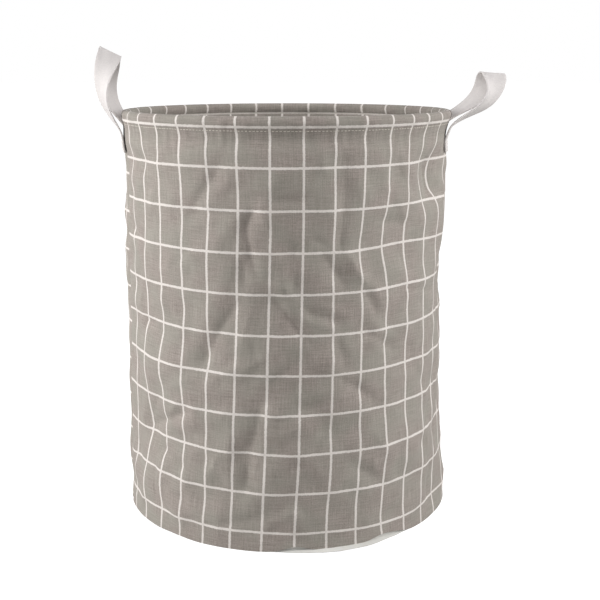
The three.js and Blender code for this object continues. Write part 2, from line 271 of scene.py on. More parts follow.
# %% [markdown]
# The lists become one number at each place on the wall. Three hundred small crumples at random
# and a sum of fine ripples keep the cloth from looking moulded, and the whole tube is twisted a
# little towards the floor. The folds fade out at the hem, which the hoop keeps round, and at the
# bottom seam. Just under the hem its stitches draw the cloth in, most of all at the front, and
# behind each handle the wall gives to the webbing's pull or push.

# %% Add up the folds at a place on the wall
CLOTH_ROUND = 0.1748
RIPPLE_SLOPE = 0.019
CREASE_DEEPER, CREASE_NARROWER = 1.6, 1.1
SEAM_GROOVE, SEAM_GROOVE_WIDTH = 0.0009, 0.004
TUCK, TUCK_PUCKERS = 0.0040, 0.0003
TUCK_HEIGHT, TUCK_SPREAD = HEM_BOTTOM - 0.007, 0.009
RIGHT_GIVES, LEFT_GIVES = -0.0032, 0.0014
GIVE_HEIGHT, GIVE_SPREAD, GIVE_ROUND = 0.402, 0.016, 0.7
TWIST, TWIST_TOP, FOOT_TWIST = 0.07, 0.330, 0.03

chance = random.Random(11)
ripples = [
    (chance.randint(5, 40), chance.uniform(-230, 230), chance.uniform(0, 2 * math.pi))
    for number in range(40)
]


def turned_from(turn, middle):
    """How far a place is turned from a middle, the short way round."""
    return (turn - middle + math.pi) % (2 * math.pi) - math.pi


def bell(away, half):
    """1 in the middle of a soft mark, and little past its half width."""
    return np.exp(-((away / half) ** 2))


def ease(value, start, end):
    """0 before the start and 1 past the end, with a smooth climb between."""
    share = np.clip((value - start) / (end - start), 0, 1)
    return share * share * (3 - 2 * share)


def soft_marks(marks, turn, height):
    total = np.zeros_like(turn)
    for at_turn, at_height, half_turn, half_height, amount in marks:
        across = turned_from(turn, math.radians(at_turn)) / math.radians(half_turn)
        up = (height - at_height / 1000) / (half_height / 1000)
        total += amount / 1000 * np.exp(-across ** 2 - up ** 2)
    return total


CRUMPLES = []
for number in range(300):
    at_turn, at_height = chance.uniform(0, 360), chance.uniform(10, 400)
    lean, long = chance.uniform(-1.3, 1.3), chance.uniform(6, 19)
    end_turn, end_height = long * math.sin(lean) * 0.33, long * math.cos(lean)
    CRUMPLES.append((
        at_turn - end_turn, at_height - end_height, at_turn + end_turn, at_height + end_height,
        chance.uniform(4.5, 10), chance.choice((-1, 1)) * chance.uniform(0.4, 1.05),
    ))


def creased(turn, height):
    total = np.zeros_like(turn)
    for turn_a, height_a, turn_b, height_b, half_width, depth in CREASES + CRUMPLES:
        middle = math.radians((turn_a + turn_b) / 2)
        x = turned_from(turn, middle) * CLOTH_ROUND
        half = math.radians(turn_b - turn_a) / 2 * CLOTH_ROUND
        rise = (height_b - height_a) / 2000
        y = height - (height_a + height_b) / 2000
        along = np.clip((x * half + y * rise) / (half ** 2 + rise ** 2), -1, 1)
        away = np.hypot(x - along * half, y - along * rise) / (half_width / 1000 / CREASE_NARROWER)
        total += CREASE_DEEPER * depth / 1000 * np.exp(-away ** 1.4) * (1 - 0.45 * along ** 4)
    return total


def rippled(turn, height):
    total = np.zeros_like(turn)
    for waves, climb, start in ripples:
        steepness = math.hypot(waves / CLOTH_ROUND, climb)
        total += RIPPLE_SLOPE / steepness * np.cos(waves * turn + climb * height + start)
    return total


def beside_handle(height):
    """1 where the wall gives most behind a handle's sewn ends, and 0 away from them."""
    return bell(height - GIVE_HEIGHT, GIVE_SPREAD)


def gathered(turn, height):
    """The pull of the hem's stitches and of the handles: a tuck all the way round, with puckers."""
    near = bell(height - TUCK_HEIGHT, TUCK_SPREAD)
    deep = TUCK * (0.25 + 0.75 * (0.5 + 0.5 * np.cos(turn)) ** 8)
    given = RIGHT_GIVES * bell(turned_from(turn, math.pi / 2), GIVE_ROUND)
    given += LEFT_GIVES * bell(turned_from(turn, -math.pi / 2), GIVE_ROUND)
    wave = np.sin(113 * turn + 3 * np.sin(5 * turn)) * (0.6 + 0.4 * np.sin(17 * turn + 1))
    wave += 0.7 * np.sin(67 * turn + 2 * np.sin(9 * turn))
    return near * (TUCK_PUCKERS * wave - deep) + given * beside_handle(height)


def seam_turn(at, height):
    """Where a seam has come to at each height, since its cloth has slid."""
    return at + fold_slide(np.full_like(height, at), height)


def fold_depth(turn, height):
    """How far the folds push the wall out at one place. A negative push is a dent."""
    held = ease(height, 0.406, 0.384) * (0.25 + 0.75 * ease(height, 0.004, 0.026))
    folds = soft_marks(DENTS, turn, height) + creased(turn, height) + rippled(turn, height)
    from_seams = [turned_from(turn, seam_turn(at, height)) * CLOTH_ROUND for at in (LEFT_SEAM, RIGHT_SEAM)]
    seam = sum(bell(away, SEAM_GROOVE_WIDTH) for away in from_seams)
    return held * folds - SEAM_GROOVE * seam * ease(height, 0.416, 0.400) + gathered(turn, height)


def fold_slide(turn, height):
    """How far the cloth has turned from where its print says."""
    off = np.degrees(turned_from(turn, math.radians(15)))
    right = ease(off, -38, 17) * (1 - ease(off, 90, 170))
    left = ease(off, -30, -65) * (1 - ease(off, -100, -170))
    twist = -TWIST * np.clip((TWIST_TOP - height) / 0.3, 0, 1.1) * (1 - 0.95 * right - 0.38 * left)
    twist -= FOOT_TWIST * right * ease(height, 0.10, 0.02)
    return twist + soft_marks(SLIDES, turn, np.minimum(height, HEM_BOTTOM))


def fold_lift(turn, height):
    """How far up the cloth has moved from where its print says."""
    return soft_marks(LIFTED, turn, height)


def on_wall(turn, height, inset):
    """Points on a layer of the folded wall, so far in from its outer face."""
    radius = (wall_radius(height) - inset) * oval(turn, height) + fold_depth(turn, height)
    return round_about(turn, radius, height)


deepest = fold_depth(np.linspace(0, 2 * math.pi, 400), np.full(400, 0.372))
print("folds at 372 mm up run from %.1f to %.1f mm" % (deepest.min() * 1000, deepest.max() * 1000))

# %% [markdown]
# ## Finishes
#
# Every finish is built from nodes, so it needs no picture files. One small function adds a node,
# sets it and links it. Colours are written as they look on a screen and turned to linear values.
# A Mix node's inputs 6 and 7 and its output 2 are those for colours.

# %% Colours and nodes
def colour(code):
    """A screen colour such as #9a9187 as linear red, green, blue and alpha."""
    parts = [int(code[i : i + 2], 16) / 255 for i in (1, 3, 5)]
    return [p / 12.92 if p <= 0.04045 else ((p + 0.055) / 1.055) ** 2.4 for p in parts] + [1]


def add(tree, kind, inputs=(), **settings):
    """Adds a node and fills its inputs, in order or by name.

    A value may be a number, a colour's code, a socket, or a node, which stands for its first output.
    """
    node = tree.nodes.new("ShaderNode" + kind)
    for name, value in settings.items():
        setattr(node, name, value)
    for key, value in inputs.items() if isinstance(inputs, dict) else enumerate(inputs):
        if isinstance(value, str):
            value = colour(value)
        if isinstance(value, bpy.types.Node):
            value = value.outputs[0]
        if isinstance(value, bpy.types.NodeSocket):
            tree.links.new(value, node.inputs[key])
        else:
            node.inputs[key].default_value = value
    return node


def new_finish(name):
    print("making", name)
    finish = bpy.data.materials.new(name)
    finish.use_nodes = True
    finish.node_tree.nodes.clear()
    return finish, finish.node_tree


def close_finish(tree, **inputs):
    """Ends a finish with one Principled shader, whose inputs are given by name."""
    surface = add(tree, "BsdfPrincipled", {key.replace("_", " "): inputs[key] for key in inputs})
    add(tree, "OutputMaterial", [surface])


# %% [markdown]
# ### Printed cotton and linen
#
# The cloth is a plain weave of cotton and linen, dyed grey taupe and screen printed with cream
# lines. Linen yarn is uneven, so slubs, which are thicker stretches of yarn, show as short pale
# and dark dashes both ways. The print's cells are 31 by 40 mm and its lines 2.4 mm wide. The
# finish reads the cloth's own map, which is laid out in metres on the flat cloth, so that print
# and weave follow every fold. Real threads are 0.5 mm apart, too fine to show at this size, so
# the weave is drawn at 1 mm.

# %% The print and the slubs as node patterns
CELL_WIDTH, CELL_HEIGHT = 0.0312, 0.04015
LINE_WIDTH, LINE_BLUR = 0.0024, 0.0002
SLUB_LENGTH, SLUB_WIDTH = 0.022, 0.0011
DRAWN_WEAVE = 0.001
WEAVE_DEPTH = 0.00035


def printed_line(tree, distance, cell):
    """1 on a printed line and 0 off it. Distance is a socket in metres, and lines repeat each cell."""
    away = add(tree, "Math", [distance, cell / 2], operation="PINGPONG")
    return add(tree, "MapRange", [away, LINE_WIDTH / 2 - LINE_BLUR, LINE_WIDTH / 2 + LINE_BLUR, 1, 0])


def yarn_noise(tree, flat, along, across, detail=2):
    """Noise stretched along the yarn. Along and across are its patch sizes, in metres."""
    stretched = add(tree, "VectorMath", [flat, (1 / along, 1 / across, 1)], operation="MULTIPLY")
    return add(tree, "TexNoise", {"Vector": stretched, "Scale": 1, "Detail": detail})


# %% Make the printed cloth
def make_printed_linen():
    finish, tree = new_finish("printed cotton and linen cloth")
    flat = add(tree, "UVMap", uv_map="flat cloth")

    # slubs both ways, fine yarn grain, and broad patches where the dye took differently
    weft = yarn_noise(tree, flat, SLUB_LENGTH, SLUB_WIDTH)
    warp = yarn_noise(tree, flat, SLUB_WIDTH, SLUB_LENGTH)
    grain = yarn_noise(tree, flat, 0.0016, 0.0013, 3)
    patches = yarn_noise(tree, flat, 0.035, 0.030, 1)
    crossed = add(tree, "Math", [weft, warp], operation="ADD")
    yarn = add(tree, "Math", [crossed, grain], operation="ADD")
    tone = add(tree, "MapRange", [yarn, 1.05, 1.95])
    cloth = add(tree, "Mix", {0: tone, 6: "#837a74", 7: "#a89f98"}, data_type="RGBA")
    patchy = add(tree, "MapRange", [patches, 0.35, 0.65, 0, 0.34])
    dyed = add(tree, "Mix", {0: patchy, 6: cloth.outputs[2], 7: "#93958a"}, data_type="RGBA")

    # above the facing's edge the cloth is double, and its colour is painted 8 percent darker there:
    # painted shade standing in for the light that comes through the single cloth from behind
    up = add(tree, "SeparateXYZ", [add(tree, "TexCoord").outputs["Object"]]).outputs["Z"]
    painted_shade_factor = add(tree, "MapRange", [up, FACING_BOTTOM - 0.003, FACING_BOTTOM + 0.004, 1, 0.92])
    dye_with_painted_shade = add(tree, "VectorMath", {0: dyed.outputs[2], "Scale": painted_shade_factor}, operation="SCALE")

    # the print: the screen's edge wanders by a thread, and ink is thin where a slub stands up
    wander = add(tree, "TexNoise", {"Vector": flat, "Scale": 420, "Detail": 1})
    shift = add(tree, "VectorMath", [wander.outputs["Color"], (0.5, 0.5, 0.5)], operation="SUBTRACT")
    small = add(tree, "VectorMath", {0: shift, "Scale": 0.0009}, operation="SCALE")
    along = add(tree, "SeparateXYZ", [add(tree, "VectorMath", [flat, small], operation="ADD")])
    upright = printed_line(tree, along.outputs["X"], CELL_WIDTH)
    level = printed_line(tree, along.outputs["Y"], CELL_HEIGHT)
    lines = add(tree, "Math", [upright, level], operation="MAXIMUM")
    cover = add(tree, "MapRange", [grain, 0.3, 0.6, 0.8, 0.97])
    ink = add(tree, "Math", [lines, cover], operation="MULTIPLY")
    # the print goes over the dye, with its painted shade above the facing's edge
    printed = add(tree, "Mix", {0: ink, 6: dye_with_painted_shade.outputs[0], 7: "#ded7d2"}, data_type="RGBA")

    # the weave as relief: over and under both ways, with the slubs standing up
    turns = add(tree, "VectorMath", {0: flat, "Scale": 2 * math.pi / DRAWN_WEAVE}, operation="SCALE")
    wave = add(tree, "SeparateXYZ", [add(tree, "VectorMath", [turns], operation="SINE")])
    over_under = add(tree, "Math", [wave.outputs["X"], wave.outputs["Y"]], operation="MULTIPLY")
    relief = add(tree, "Math", [over_under, 0.25, yarn], operation="MULTIPLY_ADD")
    bump = add(tree, "Bump", {"Height": relief, "Strength": 0.55, "Distance": WEAVE_DEPTH})
    close_finish(
        tree, Base_Color=printed.outputs[2], Roughness=0.95, Normal=bump,
        Specular_IOR_Level=0.2, Sheen_Weight=0.12, Sheen_Roughness=0.5,
    )
    return finish


PRINTED_LINEN = make_printed_linen()

# %% [markdown]
# ### White coated cloth, webbing, tape, wire and thread
#
# The lining and the base are cloth with a white waterproof coating: smoother than the print and
# a little shiny, with the weave showing through as faint relief. Webbing is woven flat in a
# herringbone whose ribs are about 1.5 mm apart. Binding tape is the same idea, with ribs 1 mm
# apart. The wire is drawn steel, whose shine is fine and a little uneven.

# %% Make the coated cloth
def make_coated_cloth():
    finish, tree = new_finish("white coated cloth")
    place = add(tree, "TexCoord").outputs["Object"]
    cloudy = add(tree, "TexNoise", {"Vector": place, "Scale": 30, "Detail": 3})
    shade = add(tree, "Mix", {0: cloudy, 6: "#c6c4be", 7: "#d9d8d4"}, data_type="RGBA")
    weave = add(tree, "TexNoise", {"Vector": place, "Scale": 900, "Detail": 2})
    crumple = add(tree, "TexNoise", {"Vector": place, "Scale": 60, "Detail": 4, "Distortion": 0.6})
    relief = add(tree, "Math", [crumple, 3, weave], operation="MULTIPLY_ADD")
    bump = add(tree, "Bump", {"Height": relief, "Strength": 0.5, "Distance": 0.0006})
    rough = add(tree, "MapRange", [cloudy, 0.3, 0.7, 0.5, 0.68])
    close_finish(tree, Base_Color=shade.outputs[2], Roughness=rough, Normal=bump, Specular_IOR_Level=0.4)
    return finish


COATED_CLOTH = make_coated_cloth()


# %% Make the webbing and the tape, which differ in colour and rib size
def make_woven_band(name, light, dark, rib, depth):
    """A flat woven band, mapped in metres: X across it and Y along it."""
    finish, tree = new_finish(name)
    flat = add(tree, "UVMap", uv_map="flat cloth")
    place = add(tree, "SeparateXYZ", [flat])

    # herringbone: the ribs slant one way, then the other, across the band
    zigzag = add(tree, "Math", [place.outputs["X"], rib * 2.5], operation="PINGPONG")
    slanted = add(tree, "Math", [place.outputs["Y"], zigzag], operation="ADD")
    turns = add(tree, "Math", [slanted, 2 * math.pi / rib], operation="MULTIPLY")
    ribs = add(tree, "Math", [turns], operation="SINE")
    fuzz = yarn_noise(tree, flat, 0.0012, 0.0012, 3)
    stains = yarn_noise(tree, flat, 0.012, 0.045)
    both = add(tree, "Math", [ribs, 0.12, fuzz], operation="MULTIPLY_ADD")
    tone = add(tree, "MapRange", [add(tree, "Math", [both, stains], operation="ADD"), 0.7, 1.3])
    yarn = add(tree, "Mix", {0: tone, 6: dark, 7: light}, data_type="RGBA")
    relief = add(tree, "Math", [ribs, 0.5, fuzz], operation="MULTIPLY_ADD")
    bump = add(tree, "Bump", {"Height": relief, "Strength": 0.6, "Distance": depth})
    close_finish(
        tree, Base_Color=yarn.outputs[2], Roughness=0.9, Normal=bump,
        Specular_IOR_Level=0.25, Sheen_Weight=0.1, Sheen_Roughness=0.5,
    )
    return finish


COTTON_WEBBING = make_woven_band("pale cotton webbing", "#dcd7d5", "#cac5c4", 0.0015, 0.0003)
BINDING_TAPE = make_woven_band("woven binding tape", "#e2ded4", "#cbc6ba", 0.001, 0.0002)


# %% Make the spring steel and the sewing thread
def make_spring_steel():
    finish, tree = new_finish("drawn spring steel")
    place = add(tree, "TexCoord").outputs["Object"]
    drawn = add(tree, "TexNoise", {"Vector": place, "Scale": 260, "Detail": 3})
    shade = add(tree, "Mix", {0: drawn, 6: "#85898e", 7: "#a6abb0"}, data_type="RGBA")
    rough = add(tree, "MapRange", [drawn, 0.3, 0.7, 0.28, 0.45])
    bump = add(tree, "Bump", {"Height": drawn, "Strength": 0.15, "Distance": 0.0001})
    close_finish(tree, Base_Color=shade.outputs[2], Metallic=1, Roughness=rough, Normal=bump)
    return finish


def make_sewing_thread():
    finish, tree = new_finish("cream sewing thread")
    place = add(tree, "TexCoord").outputs["Object"]
    plies = add(tree, "TexNoise", {"Vector": place, "Scale": 2500, "Detail": 1})
    shade = add(tree, "Mix", {0: plies, 6: "#c4bdb1", 7: "#ddd6ca"}, data_type="RGBA")
    bump = add(tree, "Bump", {"Height": plies, "Strength": 0.4, "Distance": 0.0001})
    close_finish(tree, Base_Color=shade.outputs[2], Roughness=0.6, Normal=bump)
    return finish


SPRING_STEEL = make_spring_steel()
SEWING_THREAD = make_sewing_thread()

# %% [markdown]
# ## Cloth from a flat piece
#
# All the cloth here starts as it does on a cutting table: flat. A grid is added, and its map is
# set in metres of flat cloth. Then each point is carried to its place on the hamper, which folds
# the print with it. Solidify gives it its thickness last. A closed ring is the same, with its
# two ends merged, as when a tube is sewn shut.

# %% Lay a flat piece of cloth
def flat_cloth(name, columns, rows):
    """A flat grid for a cut piece of cloth, and how far across and up each point is, from 0 to 1."""
    deselect_all()
    bpy.ops.mesh.primitive_grid_add(x_subdivisions=columns, y_subdivisions=rows, size=1)
    cloth = bpy.context.object
    cloth.name = cloth.data.name = name
    across, up, _ = points_of(cloth).T + 0.5
    return cloth, across, up


def lay_cloth(cloth, places, flat_x, flat_y):
    """Carries the cloth's points to their places, and writes its flat map, in metres."""
    corners = np.zeros(len(cloth.data.loops), int)
    cloth.data.loops.foreach_get("vertex_index", corners)
    flat_map = cloth.data.uv_layers.active
    flat_map.name = "flat cloth"
    flat_map.data.foreach_set("uv", np.stack((flat_x[corners], flat_y[corners]), axis=1).ravel())
    move_points(cloth, places)


def sew_shut(cloth):
    """Merges the two ends of a cloth that goes all the way round."""
    edit(cloth)
    bpy.ops.mesh.remove_doubles(threshold=0.00002)
    leave_edit()


def finish_cloth(cloth, thickness, material, offset=-1):
    """Gives a cloth its thickness, inwards if nothing else is said, and its finish."""
    apply_modifier(cloth, "SOLIDIFY", thickness=thickness, offset=offset, use_even_offset=True)
    smooth(cloth)
    dress(cloth, material)
    return cloth


# %% [markdown]
# ## The two wall panels
#
# The front and back are two pieces from the same printed cloth. The printed lines of the back
# sit 18 mm lower than those of the front, which shows at the side seam, where they don't meet.
# The lower edge has let go of the floor in a few places at the front right, where the white base
# shows under it.

# %% Where the print falls on each panel
FRONT_PRINT = {"turn": -0.0904, "round": CLOTH_ROUND, "height": 0.3842}
BACK_PRINT = {"turn": math.pi + 0.0474, "round": 0.1642, "height": 0.3663}


def print_map(turn, height, where):
    """Flat place of a point of a panel, in metres, with a printed line at each whole cell."""
    return (turn - where["turn"]) * where["round"], height - where["height"]


# %% The lower edge, off the floor in places: turn, half width in degrees, and millimetres
EDGE_CLEARS = [
    (5.6, 5.2, 6.2), (19, 9, 2.2), (36.5, 7, 7), (44, 5, 2), (-38, 6, 1.4), (150, 8, 1.5), (212, 10, 2),
]
EDGE_REST, EDGE_FLARE = 0.0004, 0.28


def bell_round(turn, at, half):
    """A soft mark round the tube, in degrees."""
    return bell(turned_from(turn, math.radians(at)), math.radians(half))


def lower_edge(turn):
    height = np.full_like(turn, EDGE_REST)
    for at, half, amount in EDGE_CLEARS:
        height += amount / 1000 * bell_round(turn, at, half)
    return height


# %% Make one wall panel
PANEL_TOP = HEM_BOTTOM - 0.00005
SEAM_EASE = 0.0001


def make_panel(name, from_turn, where):
    cloth, across, up = flat_cloth(name, 280, 150)
    turn = from_turn + SEAM_EASE / CLOTH_ROUND + across * (math.pi - 2 * SEAM_EASE / CLOTH_ROUND)
    bottom = lower_edge(turn)
    height = bottom + up * (PANEL_TOP - bottom)
    places = on_wall(turn + fold_slide(turn, height), height, 0)
    loose = (bottom - EDGE_REST) * ease(height, 0.016, 0.0) * EDGE_FLARE
    places += round_about(turn, loose, 0 * height)
    flat_x, flat_y = print_map(turn, height, where)
    lay_cloth(cloth, places, flat_x, flat_y - fold_lift(turn, height))
    return finish_cloth(cloth, CLOTH, PRINTED_LINEN)


front_panel = make_panel("front_panel_cloth", LEFT_SEAM, FRONT_PRINT)
back_panel = make_panel("back_panel_cloth", RIGHT_SEAM, BACK_PRINT)

# %% [markdown]
# ## The hem
#
# Above the seam the same cloth is rolled over the hoop and comes down inside as a facing, held by
# one line of stitches. It is laid as a strip whose path in section goes up the outside, over the
# hoop and down the inside. It stays round while the wall folds, so it is a piece of its own, and
# its print carries on from the panels.

# %% The hem's path in section, as distance along the cloth
FACING_INSET = 0.0036


def hem_path():
    """Distances along the cloth, and the radius and height of its printed face at each."""
    up = np.linspace(0, 1, 40)
    angle = up[1:] * math.pi
    down = np.linspace(HEM_BOTTOM, FACING_BOTTOM, 20)[1:]
    pinch, inner = HEM_SEAM_RADIUS - FACING_INSET, HOOP_RADIUS - ROLL_RADIUS
    radius = np.concatenate((
        HEM_SEAM_RADIUS + (HOOP_RADIUS + ROLL_RADIUS - HEM_SEAM_RADIUS) * np.sin(up * math.pi / 2),
        HOOP_RADIUS + ROLL_RADIUS * np.cos(angle),
        inner + (pinch - inner) * up[1:] ** 2,
        wall_radius(down) - FACING_INSET,
    ))
    height = np.concatenate((
        HEM_BOTTOM + up * (HOOP_HEIGHT - HEM_BOTTOM),
        HOOP_HEIGHT + ROLL_RADIUS * np.sin(angle),
        HOOP_HEIGHT - up[1:] * (HOOP_HEIGHT - HEM_BOTTOM),
        down,
    ))
    steps = np.hypot(np.diff(radius), np.diff(height))
    return np.concatenate(([0], np.cumsum(steps))), radius, height


TAKEN_UP, BACK_LET_OUT = 0.0027, 0.0037
HEM_RIPPLE, FRONT_RISE = 0.45, 0.0013
HEM_DISTANCES, HEM_RADII, HEM_HEIGHTS = hem_path()
print("the hem takes %.1f mm of cloth" % (HEM_DISTANCES[-1] * 1000))


# %% Make the hem
def make_hem():
    cloth, across, up = flat_cloth("rolled_hem_cloth", 540, 40)
    turn = LEFT_SEAM + across * 2 * math.pi
    distance = up * HEM_DISTANCES[-1]
    radius = np.interp(distance, HEM_DISTANCES, HEM_RADII)
    height = np.interp(distance, HEM_DISTANCES, HEM_HEIGHTS)
    loose = ease(distance, 0.001, 0.006) * (1 - ease(distance, 0.024, 0.030))
    radius = radius + loose * HEM_RIPPLE * rippled(turn * 3, height)
    rise = FRONT_RISE * (0.5 + 0.5 * np.cos(turn))
    height = height + rise * ease(height, HOOP_HEIGHT, HOOP_HEIGHT + ROLL_RADIUS)
    low = ease(height, HOOP_HEIGHT, HEM_BOTTOM + 0.002)
    radius = radius + low * gathered(turn, height)
    slid = fold_slide(turn, np.full_like(turn, HEM_BOTTOM))
    flat_x, flat_y = print_map(turn, HEM_BOTTOM + distance + TAKEN_UP, FRONT_PRINT)
    lay_cloth(cloth, round_about(turn + slid, radius, height), flat_x, flat_y)
    print_back_of_hem(cloth)
    sew_shut(cloth)
    return finish_cloth(cloth, CLOTH, PRINTED_LINEN)


def print_back_of_hem(cloth):
    """Faces behind the side seams carry the back panel's print instead of the front's."""
    flat_map = cloth.data.uv_layers.active.data
    for face in cloth.data.polygons:
        turn = math.atan2(face.center.x, -face.center.y)
        if abs(turned_from(turn, math.radians(15))) < math.pi / 2:
            continue
        for corner in face.loop_indices:
            flat_x, flat_y = flat_map[corner].uv
            at_turn = flat_x / FRONT_PRINT["round"] + FRONT_PRINT["turn"]
            at_height = flat_y + FRONT_PRINT["height"] - BACK_LET_OUT
            if at_turn < 0:
                at_turn += 2 * math.pi
            flat_map[corner].uv = print_map(at_turn, at_height, BACK_PRINT)


hem = make_hem()

# %% [markdown]
# ## The lining, the base and the tapes
#
# The lining is a white tube just inside the panels, with the same folds. The base is a round of
# the same coated cloth, drawn here ring by ring from its middle: out along the floor, round the
# corner and up as the seam's allowance. Tape is folded over that raw edge and laid over the two
# side seams.

# %% Make the lining
LINING_BOTTOM, LINING_TOP, LINING_INSET = 0.0003, 0.421, 0.0015


def make_lining():
    cloth, across, up = flat_cloth("coated_lining", 240, 90)
    turn = across * 2 * math.pi
    height = LINING_BOTTOM + up * (LINING_TOP - LINING_BOTTOM)
    lay_cloth(cloth, on_wall(turn, height, LINING_INSET), turn * CLOTH_ROUND, height)
    sew_shut(cloth)
    return finish_cloth(cloth, LINING, COATED_CLOTH)


lining = make_lining()

# %% Make the base, ring by ring
FIRST_RING = 0.02
BASE_RINGS = [
    (0.060, 0.0), (0.100, 0.0), (0.130, 0.0), (0.150, 0.0), (0.162, 0.0), (0.1685, 0.0), (0.1706, 0.0003),
    (0.1717, 0.0012), (0.1714, 0.0024), (0.1698, 0.0045), (0.1680, 0.0075), (0.1674, 0.0100),
]


def make_base():
    deselect_all()
    bpy.ops.mesh.primitive_circle_add(vertices=180, radius=FIRST_RING, fill_type="TRIFAN")
    base = bpy.context.object
    base.name = base.data.name = "coated_base"
    edit(base)
    bpy.ops.mesh.region_to_loop()
    radius, height = FIRST_RING, 0.0
    for next_radius, next_height in BASE_RINGS:
        bpy.ops.mesh.extrude_edges_move(TRANSFORM_OT_translate={"value": (0, 0, next_height - height)})
        scale = next_radius / radius
        bpy.ops.transform.resize(value=(scale, scale, 1), center_override=(0, 0, 0))
        radius, height = next_radius, next_height
    leave_edit()
    face_outwards(base)
    return base


base = make_base()
print(base.name, "reaches", points_of(base).max(axis=0).round(4))


# %% Make the base oval, with a puckered edge that swells out where the wall clears it
BASE_WAVE = 0.0006
BASE_SWELL, SWELL_AT, SWELL_HALF = 0.0095, 21, 24


def shape_base(base):
    x, y, height = points_of(base).T
    turn, radius = np.arctan2(x, -y), np.hypot(x, y)
    edge = ease(radius, 0.150, 0.171)
    pucker = edge * (rippled(turn * 2, height + 0.1) * 0.5 - 0.0002)
    floor_part = (1 - ease(radius, 0.155, 0.166)) * ease(radius, FIRST_RING, 0.08)
    wavy = BASE_WAVE * floor_part * (1 + np.cos(3 * turn + 40 * radius))
    swell = BASE_SWELL * bell_round(turn, SWELL_AT, SWELL_HALF) * ease(height, 0.006, 0.001)
    out = (radius + pucker + edge * swell) * oval(turn, height)
    move_points(base, round_about(turn, out, height + wavy))


shape_base(base)
faces_up = base.data.polygons[0].normal.z > 0
finish_cloth(base, BASE_CLOTH, COATED_CLOTH, offset=1 if faces_up else -1)
print("its lowest point is", points_of(base)[:, 2].min().round(5))

# %% Make the binding over the bottom seam's raw edge
SEAM_ALLOWANCE_INSET = 0.0078
BINDING_WIDTH, BINDING_TOP, BINDING_BEND = 0.0158, 0.0107, 0.0012


def make_binding():
    cloth, across, up = flat_cloth("bottom_binding", 240, 14)
    turn = across * 2 * math.pi
    distance = (up - 0.5) * BINDING_WIDTH
    inset = SEAM_ALLOWANCE_INSET + np.clip(distance, -BINDING_BEND, BINDING_BEND)
    height = BINDING_TOP - np.maximum(0, np.abs(distance) - BINDING_BEND)
    radius = (wall_radius(height) - inset) * oval(turn, height)
    lay_cloth(cloth, round_about(turn, radius, height), distance, turn * CLOTH_ROUND)
    sew_shut(cloth)
    return finish_cloth(cloth, TAPE, BINDING_TAPE, offset=0)


binding = make_binding()


# %% Make the two side seam tapes
TAPE_WIDTH, TAPE_BOTTOM, TAPE_TOP, TAPE_INSET = 0.015, 0.0114, 0.4047, 0.0024


def make_seam_tape(name, seam):
    cloth, across, up = flat_cloth(name, 6, 90)
    height = TAPE_BOTTOM + up * (TAPE_TOP - TAPE_BOTTOM)
    sideways = (across - 0.5) * TAPE_WIDTH
    turn = seam_turn(seam, height) + sideways / wall_radius(height)
    lay_cloth(cloth, on_wall(turn, height, TAPE_INSET), sideways, height)
    return finish_cloth(cloth, TAPE, BINDING_TAPE)


left_tape = make_seam_tape("left_seam_tape_cloth", LEFT_SEAM)
right_tape = make_seam_tape("right_seam_tape_cloth", RIGHT_SEAM)

# %% [markdown]
# ## The webbing handles
#
# Each handle is one length of 25 mm webbing. Both ends are sewn flat to the outside of the wall
# under the hem, and between them it stands up as a loop. Webbing bends across its face but not
# within it, so each leg has to turn a quarter round before the loop can go over the top, and the
# face that was outside ends up on top. A narrow grid is carried along its path, from the foot of
# one end, through the loop, to the foot of the other. Each end follows the wall and then leaves
# it to clear the hem. The rows at the fold are averaged with their neighbours, because webbing
# bends rather than creases.

# %% Sizes of the handles
STRAP_WIDTH, STRAP_SPACING = 0.025, 0.072
END_BOTTOM, LEAVES_WALL, FOLD_HEIGHT = 0.388, 0.400, 0.413
SEAT_GAP, SELVEDGE = 0.0003, 0.0004
END_TURN = math.asin(STRAP_SPACING / 2 / (float(wall_radius(LEAVES_WALL)) + SEAT_GAP + WEBBING))

# %% How each loop stands, as it was last put down. Lengths in metres, angles in degrees
# bulge is how far the legs bow out, and tilt how far the outside face ends on top. Swing and sway
# are how far the top has gone round and sideways. Out is the fold's distance from the middle, and
# stray how much further out the first leg stands.
RIGHT_SET = {
    "fold": 0.4143, "height": 0.0725, "lean": 42.6, "bulge": 0.0096, "bulge_power": 1.42,
    "tilt": 38.9, "tilt_power": 3.47, "swing": 6.6, "sway": -0.0004,
    "out": 0.1740, "stray": 0, "gives": RIGHT_GIVES,
}
LEFT_SET = {
    "fold": 0.4100, "height": 0.0812, "lean": 10.6, "bulge": 0.013, "bulge_power": 1.01,
    "tilt": 36.4, "tilt_power": 2.24, "swing": 10.2, "sway": -0.0049,
    "out": 0.1761, "stray": 0.0026, "gives": LEFT_GIVES,
}


# %% The middle line of a loop, and how its webbing lies
def loop_place(share, stands):
    """A point of the middle line, upright over the fold, with X away from the hamper."""
    rise = math.sin(math.pi * share)
    bulge = stands["bulge"] * math.sin(math.pi * rise ** stands["bulge_power"])
    sideways = -stands["out"] * math.sin(END_TURN) * math.cos(math.pi * share)
    swing = math.radians(stands["swing"]) * rise ** 1.5
    forward = sideways * math.cos(swing) + stands["sway"] * rise ** 2
    stray = stands["stray"] * float(ease(share, 0.32, 0.0))
    return Vector((bulge + stray - sideways * math.sin(swing), forward, stands["height"] * rise))


